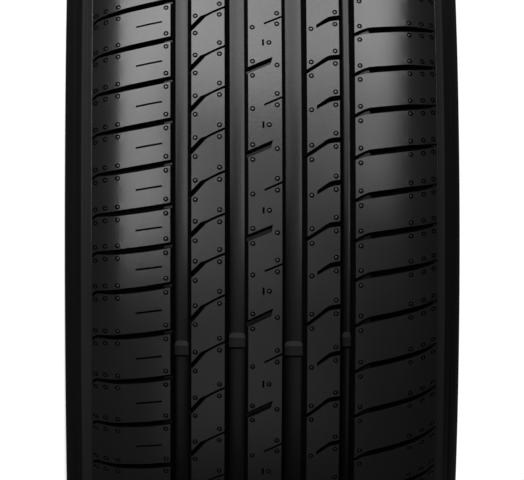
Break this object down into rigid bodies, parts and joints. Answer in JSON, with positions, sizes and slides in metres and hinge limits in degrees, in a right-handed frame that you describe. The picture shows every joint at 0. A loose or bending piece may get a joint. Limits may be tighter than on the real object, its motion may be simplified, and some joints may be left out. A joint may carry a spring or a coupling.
{
  "type": "car tyre",
  "caption": "Low-profile radial road tyre with an asymmetric block tread, circumferential grooves, round sidewalls and open beads that seat on a wheel rim.",
  "frame": {"origin": "middle of the tyre, on the wheel axis and halfway across its width", "axes": "+Z along the wheel axis, so that the tyre lies on one sidewall, and -Y towards the stretch of tread that the picture shows"},
  "size_m": [0.6336, 0.6342, 0.225],
  "materials": {
    "rubber": "satin"
  },
  "bodies": {
    "root": {"tyre": "rubber"}
  },
  "joints": []
}
